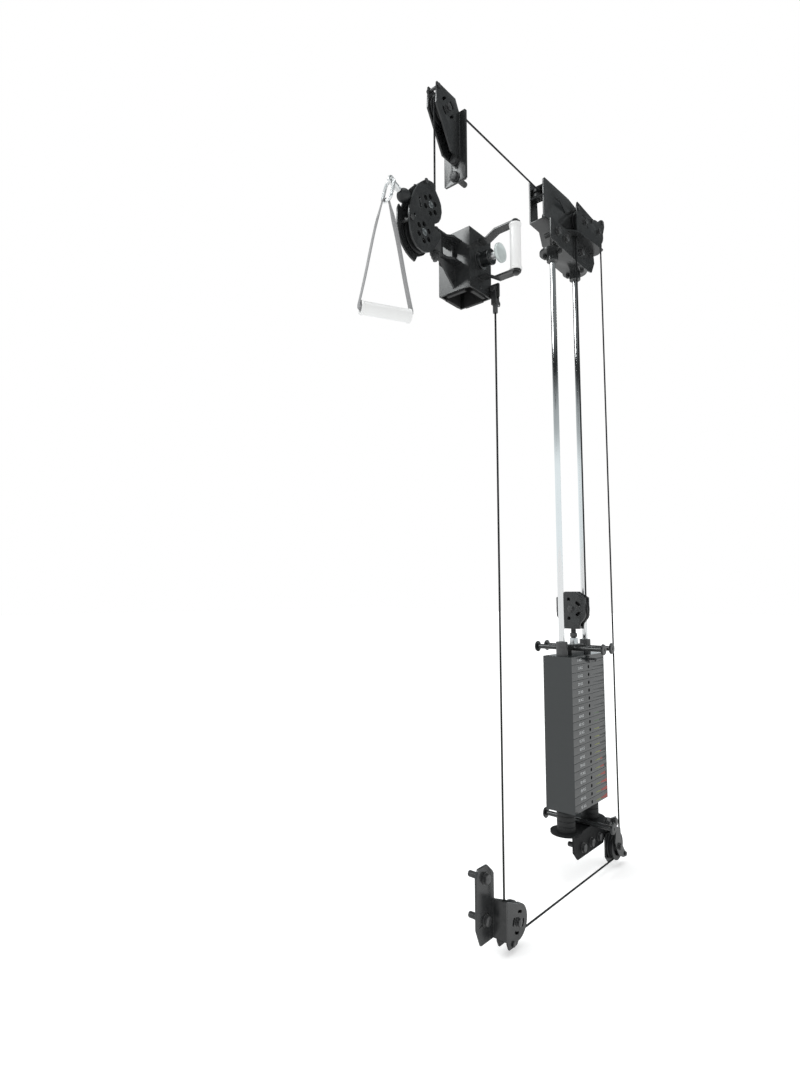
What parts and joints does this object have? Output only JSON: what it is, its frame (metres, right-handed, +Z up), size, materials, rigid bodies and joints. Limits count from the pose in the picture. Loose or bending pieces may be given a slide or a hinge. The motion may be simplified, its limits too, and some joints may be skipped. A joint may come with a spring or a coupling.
{
  "type": "cable pulley attachment",
  "caption": "Rack-side cable pulley attachment: guided weight stack, floating pulley, crossover pulleys, height-adjustable trolley with swivel arm, carabiner and hand grip.",
  "frame": {"origin": "centre of the base bracket's underside, where it rests on the lower crossmember of the rack", "axes": "+Z up along the guide rods, +X outward from the rack's side, +Y towards the rear of the rack"},
  "size_m": [0.3005, 1.2207, 2.313],
  "materials": {
    "black_paint": "satin powder coat",
    "pulley_plastic": "moulded nylon",
    "rod_chrome": "polished",
    "bright_steel": "zinc plated",
    "dark_steel": "black oxide",
    "cushion_rubber": "matte",
    "slider_plastic": "matte",
    "pale_grip": "satin",
    "strap_web": "woven webbing",
    "cable_sheath": "coated wire rope",
    "stop_rubber": "matte",
    "plate_iron": "painted"
  },
  "bodies": {
    "stand": {"base_bracket": "black_paint", "stack_cushions": "cushion_rubber", "base_band_bar": "black_paint", "guide_rod_front": "rod_chrome", "guide_rod_rear": "rod_chrome", "rod_sockets": "black_paint", "top_saddle": "black_paint", "crossover_bracket": "black_paint", "crossover_outer_cheek": "black_paint", "head_bracket": "black_paint", "foot_bracket": "black_paint", "foot_covers": "black_paint", "rear_foot_bracket": "black_paint", "mounting_bolts": "dark_steel", "pulley_axles": "dark_steel", "keeper_bolts": "dark_steel", "weight_plates": "plate_iron", "top_run_cable": "cable_sheath", "return_loop_cable": "cable_sheath", "lift_strands": "cable_sheath", "front_drop_cable": "cable_sheath", "front_low_cable": "cable_sheath"},
    "roller": {"guide_roller": "pulley_plastic"},
    "head_wheel": {"head_pulley": "pulley_plastic"},
    "inner_wheel": {"inner_drop_pulley": "pulley_plastic"},
    "outer_front_wheel": {"outer_front_pulley": "pulley_plastic"},
    "outer_rear_wheel": {"outer_rear_pulley": "pulley_plastic"},
    "foot_wheel": {"foot_pulley": "pulley_plastic"},
    "rear_foot_wheel": {"rear_foot_pulley": "pulley_plastic"},
    "trolley": {"trolley_sleeve": "black_paint", "slider_pads": "slider_plastic", "swivel_bracket": "black_paint", "pop_pin_housing": "black_paint", "handle_arms": "black_paint", "trolley_grip": "pale_grip", "trolley_bolts": "bright_steel", "cable_clevis": "dark_steel"},
    "locking_pin": {"pop_pin": "bright_steel"},
    "arm": {"arm_cheeks": "black_paint", "arm_axles": "bright_steel", "swivel_block": "dark_steel", "ball_stop": "stop_rubber", "cable_eye": "bright_steel", "arm_cable": "cable_sheath"},
    "arm_upper_wheel": {"arm_upper_pulley": "pulley_plastic"},
    "arm_lower_wheel": {"arm_lower_pulley": "pulley_plastic"},
    "hook": {"carabiner": "rod_chrome"},
    "gate": {"carabiner_gate": "rod_chrome"},
    "strap": {"handle_strap": "strap_web"},
    "grip": {"handle_grip": "pale_grip"},
    "stack_top": {"top_weight_plate": "plate_iron", "stack_collars": "dark_steel", "stack_band_bars": "black_paint", "stack_yoke": "black_paint", "stack_stem": "bright_steel", "floating_cheeks": "black_paint", "floating_axle": "dark_steel", "lift_loop_cable": "cable_sheath"},
    "float_wheel": {"floating_pulley": "pulley_plastic"},
    "weight_pin": {"selector_pin": "dark_steel"}
  },
  "joints": [
    {"name": "trolley_slide", "type": "slide", "parent": "stand", "child": "trolley", "axis": [0, 0, 1], "range_m": [-1.45, 0.1], "deforming": ["front_drop_cable", "front_low_cable"]},
    {"name": "pin_pull", "type": "slide", "parent": "trolley", "child": "locking_pin", "axis": [1, 0, 0], "range_m": [0, 0.022], "stiffness_N_per_m": 1500, "springref_m": -0.01},
    {"name": "arm_swivel", "type": "hinge", "parent": "trolley", "child": "arm", "pos_m": [0, -0.754, 1.687], "axis": [0, 0, 1], "range_deg": [-80, 80]},
    {"name": "stack_lift", "type": "slide", "parent": "stand", "child": "stack_top", "axis": [0, 0, 1], "range_m": [0, 1.1], "deforming": ["lift_strands"]},
    {"name": "weight_pin_pull", "type": "slide", "parent": "stack_top", "child": "weight_pin", "axis": [1, 0, 0], "range_m": [0, 0.07]},
    {"name": "float_spin", "type": "hinge", "parent": "stack_top", "child": "float_wheel", "pos_m": [0, 0, 0.7085], "axis": [0, 1, 0], "continuous": true},
    {"name": "head_spin", "type": "hinge", "parent": "stand", "child": "head_wheel", "pos_m": [0, -0.714, 2.0884], "axis": [1, 0, 0], "continuous": true},
    {"name": "roller_spin", "type": "hinge", "parent": "stand", "child": "roller", "pos_m": [-0.012, -0.15878, 2.1284], "axis": [0, 0, 1], "continuous": true},
    {"name": "inner_spin", "type": "hinge", "parent": "stand", "child": "inner_wheel", "pos_m": [-0.03592, -0.03829, 2.0884], "axis": [0.9572, 0.2896, 0], "continuous": true},
    {"name": "outer_front_spin", "type": "hinge", "parent": "stand", "child": "outer_front_wheel", "pos_m": [0.05169, 0.03978, 2.0884], "axis": [0.9945, -0.1047, 0], "continuous": true},
    {"name": "outer_rear_spin", "type": "hinge", "parent": "stand", "child": "outer_rear_wheel", "pos_m": [0.06131, 0.13122, 2.0884], "axis": [0.9945, -0.1047, 0], "continuous": true},
    {"name": "foot_spin", "type": "hinge", "parent": "stand", "child": "foot_wheel", "pos_m": [0.0655, -0.5253, -0.083], "axis": [1, 0, 0], "continuous": true},
    {"name": "rear_foot_spin", "type": "hinge", "parent": "stand", "child": "rear_foot_wheel", "pos_m": [0.0655, 0.131, -0.083], "axis": [1, 0, 0], "continuous": true},
    {"name": "arm_upper_spin", "type": "hinge", "parent": "arm", "child": "arm_upper_wheel", "pos_m": [0, -0.794, 1.766], "axis": [1, 0, 0], "continuous": true},
    {"name": "arm_lower_spin", "type": "hinge", "parent": "arm", "child": "arm_lower_wheel", "pos_m": [0, -0.8205, 1.679], "axis": [1, 0, 0], "continuous": true},
    {"name": "hook_swing", "type": "hinge", "parent": "arm", "child": "hook", "pos_m": [0, -0.92907, 1.77185], "axis": [1, 0, 0], "range_deg": [-60, 10]},
    {"name": "gate_hinge", "type": "hinge", "parent": "hook", "child": "gate", "pos_m": [0.014, -0.94159, 1.72821], "axis": [0, 0.9613, -0.2756], "range_deg": [-25, 0], "stiffness_Nm_per_rad": 0.05, "springref_deg": 20.05},
    {"name": "strap_swing", "type": "hinge", "parent": "hook", "child": "strap", "pos_m": [0, -0.94762, 1.70716], "axis": [1, 0, 0], "range_deg": [-60, 5]},
    {"name": "grip_spin", "type": "hinge", "parent": "strap", "child": "grip", "pos_m": [0, -0.94762, 1.42716], "axis": [0.454, 0.891, 0], "continuous": true}
  ],
  "couplings": [
    {"joint": "head_spin", "follows": "stack_lift", "rad_per_m": 50},
    {"joint": "inner_spin", "follows": "stack_lift", "rad_per_m": 50},
    {"joint": "roller_spin", "follows": "stack_lift", "rad_per_m": -166.67},
    {"joint": "float_spin", "follows": "stack_lift", "rad_per_m": 21.053},
    {"joint": "arm_upper_spin", "follows": "stack_lift", "rad_per_m": -50},
    {"joint": "outer_front_spin", "follows": "trolley_slide", "rad_per_m": -25},
    {"joint": "outer_rear_spin", "follows": "trolley_slide", "rad_per_m": -25},
    {"joint": "rear_foot_spin", "follows": "trolley_slide", "rad_per_m": -25},
    {"joint": "foot_spin", "follows": "trolley_slide", "rad_per_m": -25}
  ]
}
